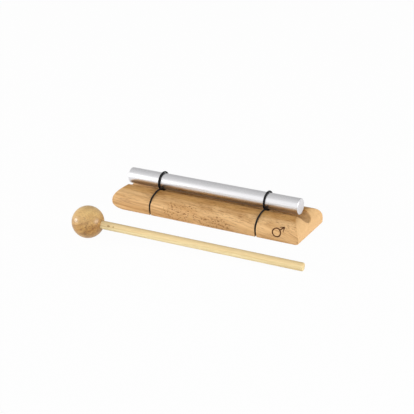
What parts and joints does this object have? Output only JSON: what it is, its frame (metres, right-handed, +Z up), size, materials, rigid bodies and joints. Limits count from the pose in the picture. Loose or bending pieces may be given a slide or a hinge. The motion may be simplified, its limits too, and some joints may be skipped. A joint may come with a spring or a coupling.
{
  "type": "energy chime",
  "caption": "Tuned metal bar slung on elastic cords over a grooved wooden resonator, with a ball-headed wooden mallet lying in front to strike it.",
  "frame": {"origin": "point of the resonator's flat underside on its middle line, 2 mm right of the bar's middle, on the surface that the chime stands on", "axes": "+X along the bar towards the end with the sign, +Y to the back, away from the mallet, +Z up"},
  "size_m": [0.2047, 0.134, 0.0325],
  "materials": {
    "base_wood": "satin lacquered hardwood",
    "bar_metal": "satin turned aluminium",
    "elastic_cord": "black braided elastic",
    "ball_wood": "glossy lacquered hardwood",
    "stick_wood": "plain smooth dowel"
  },
  "bodies": {
    "base": {"resonator_base": "base_wood", "cord_left_base_turn": "elastic_cord", "cord_right_base_turn": "elastic_cord"},
    "sling": {"cord_left_bar_turn": "elastic_cord", "cord_right_bar_turn": "elastic_cord"},
    "bar": {"chime_bar": "bar_metal"},
    "mallet": {"mallet_head": "ball_wood", "mallet_stick": "stick_wood"}
  },
  "joints": [
    {"name": "bar_bounce", "type": "slide", "parent": "base", "child": "sling", "axis": [0, 0, 1], "range_m": [-0.0025, 0.0025], "stiffness_N_per_m": 600, "springref_m": 0.00113, "deforming": ["cord_left_bar_turn", "cord_right_bar_turn"]},
    {"name": "bar_roll", "type": "hinge", "parent": "sling", "child": "bar", "pos_m": [-0.002, 0, 0.02351], "axis": [1, 0, 0], "continuous": true},
    {"name": "mallet_lift", "type": "slide", "parent": "base", "child": "mallet", "axis": [0, 0, 1], "range_m": [0, 0.1]}
  ]
}
